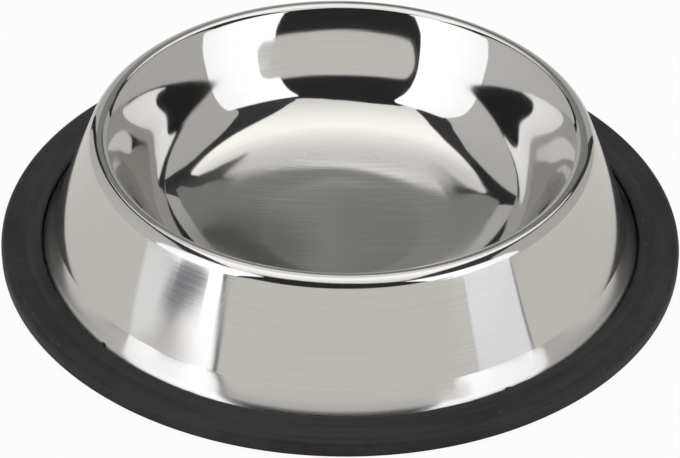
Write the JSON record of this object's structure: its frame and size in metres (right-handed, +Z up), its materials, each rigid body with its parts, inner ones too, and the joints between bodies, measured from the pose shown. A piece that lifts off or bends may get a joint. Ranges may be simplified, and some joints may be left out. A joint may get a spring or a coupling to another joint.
{
  "type": "pet bowl",
  "caption": "Shallow pressed steel pet bowl with a rolled rim and a sloping skirt, held at its foot by a rubber ring that stops it sliding.",
  "frame": {"origin": "on the ground, at the centre of the rubber ring", "axes": "+Z up along the axis of the bowl, +X to the right and +Y to the back as seen from the front"},
  "size_m": [0.21, 0.21, 0.0396],
  "materials": {
    "polished_steel": "stainless steel, machine polished on the rim, walls and skirt, finely brushed on the cup's floor",
    "black_rubber": "moulded charcoal black rubber, matte, with a little mould flash on the inner lip"
  },
  "bodies": {
    "ring": {"rubber_ring": "black_rubber"},
    "bowl": {"steel_bowl": "polished_steel"}
  },
  "joints": [
    {"name": "bowl_lift", "type": "slide", "parent": "ring", "child": "bowl", "axis": [0, 0, 1], "range_m": [0, 0.05], "deforming": ["rubber_ring"]}
  ]
}
